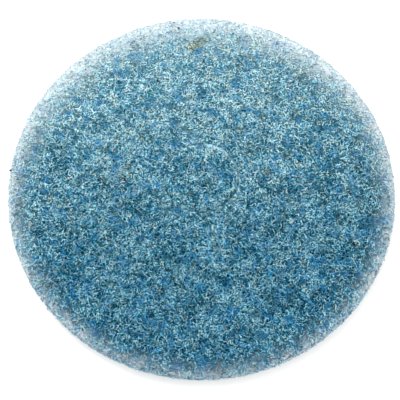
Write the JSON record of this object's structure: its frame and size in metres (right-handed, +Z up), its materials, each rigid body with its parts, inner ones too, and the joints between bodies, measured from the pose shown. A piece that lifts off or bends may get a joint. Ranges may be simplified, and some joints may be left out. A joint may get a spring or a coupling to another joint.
{
  "type": "polishing pad",
  "caption": "Round lofty fibre floor pad with coated faces and a die-cut knock-out centre, for rotary scrubbing and polishing machines.",
  "frame": {"origin": "middle of the underside, in the plane the pad lies on", "axes": "+Z up through the thickness, along the axis the pad turns about; +X and +Y are alike, with one torn tab on +X"},
  "size_m": [0.4317, 0.4318, 0.0254],
  "materials": {
    "coated_fibre": "matt lofty fibre web, mottled blue",
    "plug_coated_fibre": "matt lofty fibre web, mottled blue",
    "open_fibre": "matt open fibre web, pale blue",
    "torn_fibre": "matt torn fibre, pale"
  },
  "bodies": {
    "pad": {"pad_top_layer": "coated_fibre", "pad_core": "open_fibre", "pad_bottom_layer": "coated_fibre"},
    "plug": {"plug_top_layer": "plug_coated_fibre", "plug_core": "open_fibre", "plug_bottom_layer": "plug_coated_fibre", "tear_tab_1": "torn_fibre", "tear_tab_2": "torn_fibre", "tear_tab_3": "torn_fibre", "tear_tab_4": "torn_fibre", "tear_tab_5": "torn_fibre", "tear_tab_6": "torn_fibre"}
  },
  "joints": [
    {"name": "plug_lift", "type": "slide", "parent": "pad", "child": "plug", "axis": [0, 0, 1], "range_m": [0, 0.032]}
  ]
}
